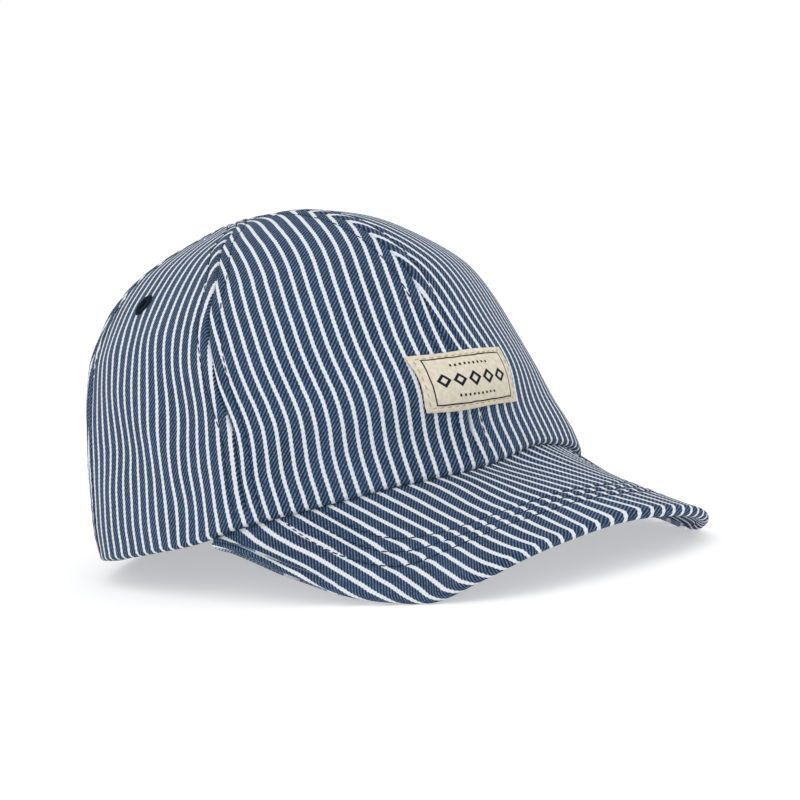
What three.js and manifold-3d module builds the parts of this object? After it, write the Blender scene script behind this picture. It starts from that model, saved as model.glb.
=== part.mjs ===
// A child's six-panel cap in striped denim, resting on the back of its rim and the two low corners
// of its peak. Millimetres, +Z up. The peak points along -Y and the wearer's left is +X.
import * as THREE from 'three';
import { mergeVertices } from 'three/addons/utils/BufferGeometryUtils.js';
import Module from 'manifold-3d';

// Crown, measured along its own upright axis
const HALF_WIDTH = 70;
const FRONT_REACH = 84.3;
const BACK_REACH = 83;
const CROWN_HEIGHT = 94;
const APEX_SETBACK = 16;
const CROWN_LEAN_DEG = 10;
const SEAM_RIDGE = 0.03;
const END_RIDGE_LOSS = 0.6;

// Rim and cloth
const FRONT_LIFT = 28.5;
const RIM_FADE = 0.6;
const CLOTH = 1.3;
const HEM_CLOTH = 2.2;
const HEM_DEPTH = 13;
const HEM_STEP = 3;
const HEM_ROUND = 0.5;
const SEAM_GAP = 0.3;
const TIP_RADIUS = 1.2;

// Peak
const PEAK_LENGTH = 60.9;
const PEAK_SPREAD_DEG = 67.2;
const PEAK_SQUARENESS = 3.40;
const PEAK_WAIST = 0.066;
const PEAK_OVERHANG = 0.5;
const PEAK_EDGE_HEIGHT = 13.6;
const PEAK_SAG = 3.4;
const PEAK_TWIST = 0.43;
const PEAK_COVER = 1.5;
const CORNER_THINNING = 0.3;
const COVER_GAP = 0.3;
const PEAK_EDGE_ROUND = 0.7;
const UNDER_COVER_INSET = 0.8;

// Label and air holes
const LABEL_WIDTH = 35;
const LABEL_HEIGHT = 17;
const LABEL_CLOTH = 1.0;
const LABEL_ALONG = 0.184;
const LABEL_SHIFT = 3;
const LABEL_TURN_DEG = -6.4;
const LABEL_SHEAR = -0.2;
const EYELET_AZIMUTH_DEG = 95;
const EYELET_ALONG = 0.565;
const EYELET_OUTER = 4;
const EYELET_HOLE = 1.6;
const EYELET_HEIGHT = 1.0;
const DRILL_DEPTH = 5.2;
const SEWN_GAP = 0.3;

// Facets
const GORE_COLUMNS = 12;
const GORE_ROWS = 20;
const PEAK_COLUMNS = 40;
const LABEL_COLUMNS = 10;
const LABEL_ROWS = 6;
const EYELET_SIDES = 20;

// Small steps that slopes and cloth lengths are taken over, and how close two points are to be one
const SLOPE_STEP = 0.002;
const SCALE_STEP = 0.01;
const WELD = 1e-4;

// Level sections of the crown from rim to apex, as shares of its height, width and reaches
const SECTIONS = [
  { rise: 0.00, side: 1.000, front: 1.000, back: 1.000, setback: 0.000 },
  { rise: 0.12, side: 0.964, front: 0.982, back: 1.056, setback: 0.023 },
  { rise: 0.28, side: 0.923, front: 1.024, back: 1.043, setback: 0.084 },
  { rise: 0.46, side: 0.885, front: 0.967, back: 0.965, setback: 0.179 },
  { rise: 0.64, side: 0.796, front: 0.909, back: 0.914, setback: 0.300 },
  { rise: 0.79, side: 0.602, front: 0.785, back: 0.877, setback: 0.434 },
  { rise: 0.90, side: 0.421, front: 0.603, back: 0.615, setback: 0.587 },
  { rise: 0.97, side: 0.175, front: 0.360, back: 0.321, setback: 0.778 },
  { rise: 1.00, side: 0.000, front: 0.000, back: 0.000, setback: 1.000 },
];

// Height of the rim on each side of the head, from the centre front at 0 degrees, as shares of the
// front lift. The soft front hangs lower over the peak on the left.
const RIM_LEVELS = [
  { azimuth: 0, right: 1.000, left: 1.000 },
  { azimuth: 20, right: 0.978, left: 1.046 },
  { azimuth: 40, right: 0.887, left: 0.867 },
  { azimuth: 58, right: 0.768, left: 0.562 },
  { azimuth: 74, right: 0.574, left: 0.512 },
  { azimuth: 92, right: 0.433, left: 0.433 },
  { azimuth: 120, right: 0.235, left: 0.235 },
  { azimuth: 142, right: 0.042, left: 0.042 },
  { azimuth: 152, right: 0.000, left: 0.000 },
  { azimuth: 180, right: 0.000, left: 0.000 },
];

// Soft dents of the crown. Azimuth and width are degrees, along and length are shares of a gore,
// and depth is a share of the half width. A negative depth swells the cloth.
const DENTS = [
  { azimuth: -113, along: 0.40, width: 8, length: 0.12, depth: 0.030 },
  { azimuth: -99, along: 0.24, width: 10, length: 0.08, depth: 0.034 },
  { azimuth: -92, along: 0.42, width: 12, length: 0.08, depth: -0.012 },
  { azimuth: -74, along: 0.34, width: 6, length: 0.14, depth: 0.020 },
  { azimuth: 47, along: 0.03, width: 13, length: 0.08, depth: -0.075 },
  { azimuth: 104, along: 0.30, width: 12, length: 0.12, depth: 0.024 },
  { azimuth: 176, along: 0.30, width: 15, length: 0.14, depth: 0.022 },
];

// Underside height of the peak's outer edge from its centre to a corner, as shares of the height at
// the centre front and of the height at the corner
const PEAK_EDGE = [
  { across: 0.00, front: 1.00, corner: 0.00 },
  { across: 0.20, front: 0.71, corner: 0.00 },
  { across: 0.40, front: 0.34, corner: 0.00 },
  { across: 0.60, front: 0.00, corner: 0.00 },
  { across: 0.76, front: 0.00, corner: 0.09 },
  { across: 0.90, front: 0.00, corner: 0.49 },
  { across: 1.00, front: 0.00, corner: 1.00 },
];

// Steps of the peak from the rim to its outer edge. A share of the edge's rounding is taken off the
// top at each step.
const PEAK_STEPS = [
  { out: 0.00, round: 0.0 },
  { out: 0.10, round: 0.0 },
  { out: 0.26, round: 0.0 },
  { out: 0.44, round: 0.0 },
  { out: 0.62, round: 0.0 },
  { out: 0.80, round: 0.0 },
  { out: 0.93, round: 0.0 },
  { out: 0.98, round: 0.3 },
  { out: 1.00, round: 1.0 },
];

// The seams between gores, with the azimuth that each has at the rim and gains towards the apex
const SEAMS = {
  front: { azimuth: 0, gain: 0 },
  sideFront: { azimuth: 57.2, gain: 4 },
  sideBack: { azimuth: 121, gain: -1 },
  back: { azimuth: 180, gain: 0 },
};

const GORES = [
  { name: 'panel_front', from: 'front', to: 'sideFront' },
  { name: 'panel_side', from: 'sideFront', to: 'sideBack', hole: true },
  { name: 'panel_back', from: 'sideBack', to: 'back' },
];

const SIDES = [
  { name: 'right', sign: -1 },
  { name: 'left', sign: 1 },
];

const denim = new THREE.MeshStandardMaterial({ color: 0x566f8f, roughness: 0.9, metalness: 0 });
const labelCloth = new THREE.MeshStandardMaterial({ color: 0xe9dfc6, roughness: 0.85, metalness: 0 });
const navyThread = new THREE.MeshStandardMaterial({ color: 0x0e1f2f, roughness: 0.8, metalness: 0 });

const radians = THREE.MathUtils.degToRad;
const clamp01 = (value) => THREE.MathUtils.clamp(value, 0, 1);

// Value at x of a smooth curve through a table, which never overshoots its rows
function smoothValue(xs, ys, x) {
  const last = xs.length - 1;
  const position = THREE.MathUtils.clamp(x, xs[0], xs[last]);
  let k = 0;
  while (k < last - 1 && position > xs[k + 1]) {
    k += 1;
  }
  const chord = (i) => (ys[i + 1] - ys[i]) / (xs[i + 1] - xs[i]);
  const slope = (i) => {
    if (i === 0) {
      return chord(0);
    }
    if (i === last) {
      return chord(last - 1);
    }
    const before = chord(i - 1);
    const after = chord(i);
    return before * after > 0 ? (2 * before * after) / (before + after) : 0;
  };
  const span = xs[k + 1] - xs[k];
  const s = (position - xs[k]) / span;
  const start = (1 + 2 * s) * (1 - s) ** 2 * ys[k] + s * (1 - s) ** 2 * span * slope(k);
  const end = s * s * (3 - 2 * s) * ys[k + 1] - s * s * (1 - s) * span * slope(k + 1);
  return start + end;
}

const columnOf = (rows, name) => rows.map((row) => row[name]);

// The section table runs on past the apex as its mirror image, so that the dome closes round
const APEX_MIRROR = SECTIONS[SECTIONS.length - 2];
const SECTION_COLUMNS = {
  rise: [...columnOf(SECTIONS, 'rise'), APEX_MIRROR.rise],
  side: [...columnOf(SECTIONS, 'side'), -APEX_MIRROR.side],
  front: [...columnOf(SECTIONS, 'front'), -APEX_MIRROR.front],
  back: [...columnOf(SECTIONS, 'back'), -APEX_MIRROR.back],
  setback: [...columnOf(SECTIONS, 'setback'), 2 - APEX_MIRROR.setback],
};

// Mean length of cloth from the rim to each section, and those lengths as shares of the whole
function profileLengths() {
  const lengths = [0];
  for (let k = 1; k < SECTION_COLUMNS.rise.length; k += 1) {
    const step = (name) => SECTION_COLUMNS[name][k] - SECTION_COLUMNS[name][k - 1];
    const reach = (step('front') * FRONT_REACH + step('back') * BACK_REACH) / 2;
    const inward = (step('side') * HALF_WIDTH + reach) / 2;
    lengths.push(lengths[k - 1] + Math.hypot(inward, step('rise') * CROWN_HEIGHT));
  }
  return lengths;
}

const LENGTHS = profileLengths();
const GORE_LENGTH = LENGTHS[SECTIONS.length - 1];
const ALONG = LENGTHS.map((length) => length / GORE_LENGTH);

function sectionAt(along) {
  const value = (name) => smoothValue(ALONG, SECTION_COLUMNS[name], along);
  return {
    rise: value('rise'),
    side: value('side'),
    front: value('front'),
    back: value('back'),
    setback: value('setback'),
  };
}

function rimHeight(azimuth) {
  const degrees = Math.abs(THREE.MathUtils.radToDeg(azimuth));
  const lifts = columnOf(RIM_LEVELS, azimuth < 0 ? 'right' : 'left');
  return FRONT_LIFT * smoothValue(columnOf(RIM_LEVELS, 'azimuth'), lifts, degrees);
}

// How far the cloth is pushed in at a place, in millimetres
function dentDepth(azimuth, along) {
  let depth = 0;
  for (const dent of DENTS) {
    const turn = THREE.MathUtils.euclideanModulo(azimuth - radians(dent.azimuth) + Math.PI, 2 * Math.PI);
    const across = (turn - Math.PI) / radians(dent.width);
    const up = (along - dent.along) / dent.length;
    depth += dent.depth * HALF_WIDTH * Math.exp(-(across ** 2 + up ** 2) / 2);
  }
  return depth;
}

// A place of the crown's section that leans back with the crown's axis, before the rim is levelled
function leaningPoint(azimuth, along) {
  const section = sectionAt(along);
  const forward = Math.cos(azimuth);
  const fullness = (1 - along ** 4) * (1 - END_RIDGE_LOSS * forward ** 2);
  const ridge = 1 + SEAM_RIDGE * Math.cos(6 * azimuth) * fullness;
  const reach = forward > 0 ? section.front * FRONT_REACH : section.back * BACK_REACH;
  const x = Math.sin(azimuth) * section.side * HALF_WIDTH * ridge;
  const y = APEX_SETBACK * section.setback - forward * reach * ridge;
  const z = CROWN_HEIGHT * section.rise;
  const lean = radians(CROWN_LEAN_DEG);
  return new THREE.Vector3(
    x,
    y * Math.cos(lean) + z * Math.sin(lean),
    z * Math.cos(lean) + (BACK_REACH - y) * Math.sin(lean),
  );
}

function smoothCrown(azimuth, along) {
  const point = leaningPoint(azimuth, along);
  const fade = (1 - clamp01(along / RIM_FADE)) ** 2;
  point.z += (rimHeight(azimuth) - leaningPoint(azimuth, 0).z) * fade;
  return point;
}

function outwardNormal(surface, azimuth, along) {
  const low = Math.max(along - SLOPE_STEP, 0);
  const high = Math.min(along + SLOPE_STEP, 1);
  const round = surface(azimuth + SLOPE_STEP, along).sub(surface(azimuth - SLOPE_STEP, along));
  const up = surface(azimuth, high).sub(surface(azimuth, low));
  return round.cross(up).normalize();
}

// The outer face of the crown: azimuth from the centre front, along from the rim (0) to the apex (1)
function crownPoint(azimuth, along) {
  const inward = outwardNormal(smoothCrown, azimuth, along).multiplyScalar(-dentDepth(azimuth, along));
  inward.z *= clamp01(along / HEM_SHARE);
  return smoothCrown(azimuth, along).add(inward);
}

const HEM_SHARE = HEM_DEPTH / GORE_LENGTH;
const STEP_SHARE = HEM_STEP / GORE_LENGTH;
const crownNormal = (azimuth, along) => outwardNormal(crownPoint, azimuth, along);

function levelInward(azimuth) {
  const inward = crownNormal(azimuth, 0).negate();
  inward.z = 0;
  return inward.normalize();
}

function rimPoint(azimuth, inset) {
  return crownPoint(azimuth, 0).addScaledVector(levelInward(azimuth), inset);
}

// The cloth is double over the turned-up hem, then steps down to one layer
function wallAt(along) {
  const share = clamp01((along - HEM_SHARE) / STEP_SHARE);
  return HEM_CLOTH + (CLOTH - HEM_CLOTH) * share;
}

function signedVolume(positions, indices) {
  const a = new THREE.Vector3();
  const b = new THREE.Vector3();
  const c = new THREE.Vector3();
  let volume = 0;
  for (let i = 0; i < indices.length; i += 3) {
    a.fromArray(positions, 3 * indices[i]);
    b.fromArray(positions, 3 * indices[i + 1]);
    c.fromArray(positions, 3 * indices[i + 2]);
    volume += a.dot(b.cross(c)) / 6;
  }
  return volume;
}

// A closed wall lofted through loops of points. Each loop runs up its outer face and back down its
// inner face, and the first and last loops are closed by strips between the two faces.
function wallThrough(loops) {
  const size = loops[0].length;
  const positions = loops.flatMap((loop) => loop.flatMap((point) => point.toArray()));
  const indices = [];
  const quad = (a, b, c, d) => indices.push(a, b, c, a, c, d);
  for (let column = 0; column < loops.length - 1; column += 1) {
    for (let i = 0; i < size; i += 1) {
      const next = (i + 1) % size;
      const here = column * size;
      quad(here + i, here + next, here + size + next, here + size + i);
    }
  }
  const end = (loops.length - 1) * size;
  for (let i = 0; i < size / 2 - 1; i += 1) {
    const across = size - 1 - i;
    quad(i, across, across - 1, i + 1);
    quad(end + i, end + i + 1, end + across - 1, end + across);
  }
  if (signedVolume(positions, indices) < 0) {
    indices.reverse();
  }
  const geometry = new THREE.BufferGeometry();
  geometry.setAttribute('position', new THREE.Float32BufferAttribute(positions, 3));
  geometry.setIndex(indices);
  geometry.computeVertexNormals();
  return geometry;
}

function seamAzimuth(seam, along) {
  return radians(seam.azimuth + seam.gain * (1 - (1 - along) ** 3));
}

// Distances along a gore at which it has a row of points: close together at the rim and the hem's
// step, even above, and stopping a little short of the apex
function goreRows() {
  const rows = [0, HEM_ROUND / GORE_LENGTH, HEM_SHARE / 2, HEM_SHARE, HEM_SHARE + STEP_SHARE];
  const tip = 1 - TIP_RADIUS / GORE_LENGTH;
  const start = HEM_SHARE + STEP_SHARE;
  const count = GORE_ROWS - rows.length;
  for (let k = 1; k <= count; k += 1) {
    rows.push(start + (tip - start) * (k / count));
  }
  return rows;
}

function goreLoop(azimuthAt) {
  const rows = goreRows();
  const outer = rows.map((along, k) => {
    return k === 0 ? rimPoint(azimuthAt(along), HEM_ROUND) : crownPoint(azimuthAt(along), along);
  });
  const inner = rows.map((along, k) => {
    const azimuth = azimuthAt(along);
    if (k === 0) {
      return rimPoint(azimuth, HEM_CLOTH);
    }
    return crownPoint(azimuth, along).addScaledVector(crownNormal(azimuth, along), -wallAt(along));
  });
  return [...outer, ...inner.reverse()];
}

function goreGeometry(gore, sign) {
  const halfGap = (azimuth, along) => {
    const across = crownPoint(azimuth, along).setZ(0).distanceTo(smoothCrown(azimuth, 1).setZ(0));
    return SEAM_GAP / 2 / Math.max(across, TIP_RADIUS);
  };
  const loops = [];
  for (let column = 0; column <= GORE_COLUMNS; column += 1) {
    const share = column / GORE_COLUMNS;
    loops.push(goreLoop((along) => {
      const from = seamAzimuth(SEAMS[gore.from], along);
      const to = seamAzimuth(SEAMS[gore.to], along);
      const start = from + halfGap(sign * from, along);
      const end = to - halfGap(sign * to, along);
      return sign * (start + (end - start) * share);
    }));
  }
  return wallThrough(loops);
}

// How far below the peak's top a number of its covers and of the gaps between them reaches. The
// covers thin towards the corners.
function coverDrop(across, covers, gaps) {
  return covers * PEAK_COVER * (1 - CORNER_THINNING * across ** 6) + gaps * COVER_GAP;
}

const peakDepth = (across) => coverDrop(across, 2, 1);

function peakOuter(across) {
  const spread = radians(PEAK_SPREAD_DEG);
  const corner = smoothCrown(spread, 0).addScaledVector(levelInward(spread), -PEAK_OVERHANG);
  const front = smoothCrown(0, 0).y - PEAK_LENGTH;
  const turn = Math.abs(across) * Math.PI / 2;
  const power = 2 / PEAK_SQUARENESS;
  const waist = 1 - PEAK_WAIST * 4 * Math.cos(turn) * Math.sin(turn);
  const steps = columnOf(PEAK_EDGE, 'across');
  const share = (name) => smoothValue(steps, columnOf(PEAK_EDGE, name), Math.abs(across));
  const frontHeight = PEAK_EDGE_HEIGHT * (1 - PEAK_TWIST * across);
  const cornerHeight = rimHeight(Math.sign(across) * spread) - SEWN_GAP - peakDepth(1);
  return new THREE.Vector3(
    Math.sign(across) * corner.x * Math.sin(turn) ** power * waist,
    corner.y - (corner.y - front) * Math.cos(turn) ** power,
    frontHeight * share('front') + cornerHeight * share('corner') + peakDepth(across),
  );
}

// The peak's top, from the inner line under the rim (out = 0) to its outer edge (out = 1)
function peakPoint(across, out, drop) {
  const azimuth = across * radians(PEAK_SPREAD_DEG);
  const inner = rimPoint(azimuth, HEM_CLOTH);
  inner.z = rimHeight(azimuth) - SEWN_GAP;
  const point = inner.lerp(peakOuter(across), out);
  const sag = PEAK_SAG * 4 * out * (1 - out) * across ** 2 * (1 - across ** 8);
  point.z -= drop + sag;
  return point;
}

// One cover of the peak, which lies under the given number of covers and gaps
function peakCoverGeometry(above, outerShare, edgeRound) {
  const loops = [];
  for (let column = 0; column <= PEAK_COLUMNS; column += 1) {
    const across = -1 + 2 * column / PEAK_COLUMNS;
    const upper = PEAK_STEPS.map((step) => {
      const drop = coverDrop(across, above, above) + edgeRound * step.round;
      return peakPoint(across, step.out * outerShare, drop);
    });
    const lower = PEAK_STEPS.map((step) => {
      return peakPoint(across, step.out * outerShare, coverDrop(across, above + 1, above));
    });
    loops.push([...upper, ...lower.reverse()]);
  }
  return wallThrough(loops);
}

// Millimetres of cloth for each radian of azimuth and for each whole gore at a place of the crown
function clothScale(azimuth, along) {
  const round = crownPoint(azimuth + SCALE_STEP, along).distanceTo(crownPoint(azimuth - SCALE_STEP, along));
  const up = crownPoint(azimuth, along + SCALE_STEP).distanceTo(crownPoint(azimuth, along - SCALE_STEP));
  return { azimuth: round / (2 * SCALE_STEP), along: up / (2 * SCALE_STEP) };
}

function labelGeometry() {
  const scale = clothScale(0, LABEL_ALONG);
  const turn = radians(LABEL_TURN_DEG);
  const place = (a, b, height) => {
    const sheared = a + LABEL_SHEAR * b;
    const right = sheared * Math.cos(turn) - b * Math.sin(turn);
    const up = sheared * Math.sin(turn) + b * Math.cos(turn);
    const azimuth = (LABEL_SHIFT + right) / scale.azimuth;
    const along = LABEL_ALONG + up / scale.along;
    return crownPoint(azimuth, along).addScaledVector(crownNormal(azimuth, along), height);
  };
  const loops = [];
  for (let column = 0; column <= LABEL_COLUMNS; column += 1) {
    const a = LABEL_WIDTH * (column / LABEL_COLUMNS - 0.5);
    const rows = Array.from({ length: LABEL_ROWS + 1 }, (_, k) => LABEL_HEIGHT * (k / LABEL_ROWS - 0.5));
    const face = rows.map((b) => place(a, b, SEWN_GAP + LABEL_CLOTH));
    const back = rows.map((b) => place(a, b, SEWN_GAP));
    loops.push([...face, ...back.reverse()]);
  }
  return wallThrough(loops);
}

// Where a side gore's air hole is, and the turn from +Z to the cloth's outward direction there
function eyeletPlace(sign) {
  const azimuth = sign * radians(EYELET_AZIMUTH_DEG);
  const outward = crownNormal(azimuth, EYELET_ALONG);
  return {
    centre: crownPoint(azimuth, EYELET_ALONG),
    outward,
    turn: new THREE.Quaternion().setFromUnitVectors(new THREE.Vector3(0, 0, 1), outward),
  };
}

function eyeletGeometry() {
  const shoulder = EYELET_HEIGHT / 2;
  const profile = [
    [EYELET_HOLE, 0],
    [EYELET_OUTER, 0],
    [EYELET_OUTER, shoulder],
    [EYELET_OUTER - shoulder, EYELET_HEIGHT],
    [EYELET_HOLE + shoulder, EYELET_HEIGHT],
    [EYELET_HOLE, shoulder],
    [EYELET_HOLE, 0],
  ].map(([radius, height]) => new THREE.Vector2(radius, height));
  return new THREE.LatheGeometry(profile, EYELET_SIDES).rotateX(Math.PI / 2);
}

const wasm = await Module();
wasm.setup();

function toSolid(geometry) {
  const bare = geometry.clone();
  bare.deleteAttribute('normal');
  bare.deleteAttribute('uv');
  const merged = mergeVertices(bare, WELD);
  return new wasm.Manifold(new wasm.Mesh({
    numProp: 3,
    vertProperties: new Float32Array(merged.attributes.position.array),
    triVerts: new Uint32Array(merged.index.array),
  }));
}

function withHole(geometry, sign) {
  const place = eyeletPlace(sign);
  const drill = new THREE.CylinderGeometry(EYELET_HOLE, EYELET_HOLE, DRILL_DEPTH, EYELET_SIDES);
  drill.rotateX(Math.PI / 2).applyQuaternion(place.turn).translate(...place.centre.toArray());
  const cut = toSolid(geometry).subtract(toSolid(drill)).getMesh();
  const result = new THREE.BufferGeometry();
  result.setAttribute('position', new THREE.Float32BufferAttribute(cut.vertProperties, 3));
  result.setIndex([...cut.triVerts]);
  result.computeVertexNormals();
  return result;
}

const cap = new THREE.Group();

function addPiece(name, geometry, material) {
  const mesh = new THREE.Mesh(geometry, material);
  mesh.name = name;
  cap.add(mesh);
  return mesh;
}

for (const side of SIDES) {
  for (const gore of GORES) {
    const whole = goreGeometry(gore, side.sign);
    addPiece(`${gore.name}_${side.name}`, gore.hole ? withHole(whole, side.sign) : whole, denim);
  }
  const place = eyeletPlace(side.sign);
  const eyelet = addPiece(`eyelet_side_${side.name}`, eyeletGeometry(), navyThread);
  eyelet.position.copy(place.centre).addScaledVector(place.outward, SEWN_GAP);
  eyelet.quaternion.copy(place.turn);
}

const underShare = 1 - UNDER_COVER_INSET / PEAK_LENGTH;
addPiece('peak_upper', peakCoverGeometry(0, 1, PEAK_EDGE_ROUND), denim);
addPiece('peak_lower', peakCoverGeometry(1, underShare, 0), denim);
addPiece('label', labelGeometry(), labelCloth);

// The origin lies on the surface that the cap stands on, under the middle of its box
const box = new THREE.Box3().setFromObject(cap, true);
const middle = box.getCenter(new THREE.Vector3());
cap.position.set(-middle.x, -middle.y, -box.min.z);

export default cap;
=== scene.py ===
import math

import bpy
import numpy as np
from mathutils import Matrix, Vector


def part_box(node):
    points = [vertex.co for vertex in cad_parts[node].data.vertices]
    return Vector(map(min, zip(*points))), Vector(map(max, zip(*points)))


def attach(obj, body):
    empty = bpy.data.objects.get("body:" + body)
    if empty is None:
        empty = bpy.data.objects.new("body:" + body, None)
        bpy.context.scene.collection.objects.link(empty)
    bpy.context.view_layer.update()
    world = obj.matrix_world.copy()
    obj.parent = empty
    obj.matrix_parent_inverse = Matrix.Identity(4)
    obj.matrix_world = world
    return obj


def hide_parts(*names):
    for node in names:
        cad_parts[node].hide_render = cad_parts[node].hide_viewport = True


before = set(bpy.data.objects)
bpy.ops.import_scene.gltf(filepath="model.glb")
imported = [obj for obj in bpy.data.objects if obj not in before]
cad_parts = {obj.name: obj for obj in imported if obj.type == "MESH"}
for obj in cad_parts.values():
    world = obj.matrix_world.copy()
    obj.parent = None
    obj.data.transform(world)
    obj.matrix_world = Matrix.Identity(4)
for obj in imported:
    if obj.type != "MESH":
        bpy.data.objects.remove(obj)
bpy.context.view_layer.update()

# Lengths below are millimetres, and a finished mesh is scaled to metres
MM = 0.001


def table(columns, *rows):
    """A list of rows whose values go by the names of its columns."""
    names = columns.split()
    return [dict(zip(names, row)) for row in rows]


# Crown, measured along its own upright axis
HALF_WIDTH = 70
FRONT_REACH = 84.3
BACK_REACH = 83
CROWN_HEIGHT = 94
APEX_SETBACK = 16
CROWN_LEAN = math.radians(10)
SEAM_RIDGE = 0.03
END_RIDGE_LOSS = 0.6
FRONT_LIFT = 28.5
RIM_FADE = 0.6

# Cloth and hem
CLOTH = 0.9
FOLD = 1.5
HEM_SINK = 0.9
HEM_TURN = 12
HEM_SHARE_LENGTH = 13

# Seams, their topstitching and the stitches
TOPSTITCH = 4.4
STITCH_PITCH = 3.1
STITCH_LENGTH = 2.5
THREAD = 0.36
PUCKER_PITCH = 4.6
PUCKER = 0.10
PUCKER_FROM_SEAM = 3.6
PUCKER_SPREAD = 2.6
PUCKER_SLANT = 0.55
PUCKER_SLOW = 9.7
FOLD_FADE = 5
TIP_FADE = 1.5
WAVES = 0.2

# Peak
PEAK_LENGTH = 60.9
PEAK_SPREAD = math.radians(67.2)
PEAK_SQUARENESS = 3.40
PEAK_WAIST = 0.066
PEAK_OVERHANG = 0.5
PEAK_EDGE_HEIGHT = 13.6
PEAK_SAG = 3.4
PEAK_TWIST = 0.43
PEAK_COVER = 1.5
CORNER_THINNING = 0.3
COVER_GAP = 0.3
PEAK_INSET = 2.2
SEWN_GAP = 0.3

# Label and air holes
LABEL_WIDTH = 35
LABEL_HEIGHT = 17
LABEL_CLOTH = 0.6
LABEL_ALONG = 0.184
LABEL_SHIFT = 3
LABEL_TURN = math.radians(-6.4)
LABEL_SHEAR = -0.2
LABEL_STITCH_INSET = 1.3
LABEL_STITCH_PITCH = 2.3
LABEL_STITCH_SHARE = 0.66
LABEL_THREAD = 0.32
EYELET_AZIMUTH = math.radians(95)
EYELET_ALONG = 0.565
EYELET_OUTER = 4
EYELET_HOLE = 1.6
EYELET_CLEARANCE = 0.35
CUTTER_DEPTH = 8
EYELET_TURNS = 57
FAR_FROM_SEAM = 20.0

# Stripes of the cloth, with the distance from a gore's middle line to a light stripe
STRIPE_PITCH = 4.3
STRIPE_WIDTH = 1.25

# Level sections of the crown from rim to apex, as shares of its height, width and reaches
SECTIONS = table(
    "rise side front back setback",
    (0.00, 1.000, 1.000, 1.000, 0.000),
    (0.12, 0.964, 0.982, 1.056, 0.023),
    (0.28, 0.923, 1.024, 1.043, 0.084),
    (0.46, 0.885, 0.967, 0.965, 0.179),
    (0.64, 0.796, 0.909, 0.914, 0.300),
    (0.79, 0.602, 0.785, 0.877, 0.434),
    (0.90, 0.421, 0.603, 0.615, 0.587),
    (0.97, 0.175, 0.360, 0.321, 0.778),
    (1.00, 0.000, 0.000, 0.000, 1.000),
)

# Height of the rim on each side of the head, from the centre front at 0 degrees, as shares of the
# front lift. The soft front hangs lower over the peak on the left.
RIM_LEVELS = table(
    "azimuth right left",
    (0, 1.000, 1.000),
    (20, 0.978, 1.046),
    (40, 0.887, 0.867),
    (58, 0.768, 0.562),
    (74, 0.574, 0.512),
    (92, 0.433, 0.433),
    (120, 0.235, 0.235),
    (142, 0.042, 0.042),
    (152, 0.000, 0.000),
    (180, 0.000, 0.000),
)

# Soft dents of the crown. Azimuth and width are degrees, along and length are shares of a gore,
# and depth is a share of the half width. A negative depth swells the cloth.
DENTS = table(
    "azimuth along width length depth",
    (-113, 0.40, 8, 0.12, 0.030),
    (-99, 0.24, 10, 0.08, 0.034),
    (-92, 0.42, 12, 0.08, -0.012),
    (-74, 0.34, 6, 0.14, 0.020),
    (47, 0.03, 13, 0.08, -0.075),
    (104, 0.30, 12, 0.12, 0.024),
    (176, 0.30, 15, 0.14, 0.022),
)

# Underside height of the peak's outer edge from its centre to a corner, as shares of the height at
# the centre front and of the height at the corner
PEAK_EDGE = table(
    "across front corner",
    (0.00, 1.00, 0.00),
    (0.20, 0.71, 0.00),
    (0.40, 0.34, 0.00),
    (0.60, 0.00, 0.00),
    (0.76, 0.00, 0.09),
    (0.90, 0.00, 0.49),
    (1.00, 0.00, 1.00),
)

# Height of the cloth beside a seam: it turns in at the seam, is padded by the allowance under it
# and is drawn down by the topstitching
SEAM_RELIEF = table(
    "distance height",
    (0.00, -0.95),
    (0.20, -0.42),
    (0.50, -0.02),
    (1.10, 0.22),
    (2.20, 0.32),
    (3.30, 0.24),
    (4.00, -0.03),
    (4.40, -0.14),
    (4.90, -0.02),
    (6.20, 0.07),
    (9.00, 0.00),
)

# The seams between gores: azimuth at the rim, and what it gains towards the apex
SEAMS = {
    "front": dict(azimuth=0, gain=0),
    "side_front": dict(azimuth=57.2, gain=4),
    "side_back": dict(azimuth=121, gain=-1),
    "back": dict(azimuth=180, gain=0),
}
GORES = {
    "front": ("front", "side_front"),
    "side": ("side_front", "side_back"),
    "back": ("side_back", "back"),
}
SIDES = {"right": -1, "left": 1}


def smooth_value(rows, name, over, x):
    """Value at x of a smooth curve through a table's column, which never overshoots its rows."""
    xs = np.array([row[over] for row in rows], float)
    ys = np.array([row[name] for row in rows], float)
    chord = np.diff(ys) / np.diff(xs)
    before = chord[:-1]
    after = chord[1:]
    same = before * after > 0
    mean = 2 * before * after / np.where(same, before + after, 1)
    slope = np.concatenate([chord[:1], np.where(same, mean, 0), chord[-1:]])
    x = np.clip(x, xs[0], xs[-1])
    k = np.clip(np.searchsorted(xs, x) - 1, 0, len(xs) - 2)
    span = xs[k + 1] - xs[k]
    s = (x - xs[k]) / span
    start = (1 + 2 * s) * (1 - s) ** 2 * ys[k] + s * (1 - s) ** 2 * span * slope[k]
    end = s * s * (3 - 2 * s) * ys[k + 1] - s * s * (1 - s) * span * slope[k + 1]
    return start + end


def ease(value):
    """0 below 0, 1 above 1 and a smooth step between."""
    t = np.clip(value, 0, 1)
    return t * t * (3 - 2 * t)


def unit(vectors):
    return vectors / np.maximum(np.linalg.norm(vectors, axis=-1, keepdims=True), 1e-9)


def stacked(x, y, z):
    return np.stack(np.broadcast_arrays(x, y, z), axis=-1)


# The section table runs on past the apex as its mirror image, so that the dome closes round
MIRRORED = dict(SECTIONS[-2])
for column in ("side", "front", "back"):
    MIRRORED[column] = -MIRRORED[column]
MIRRORED["setback"] = 2 - MIRRORED["setback"]


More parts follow.
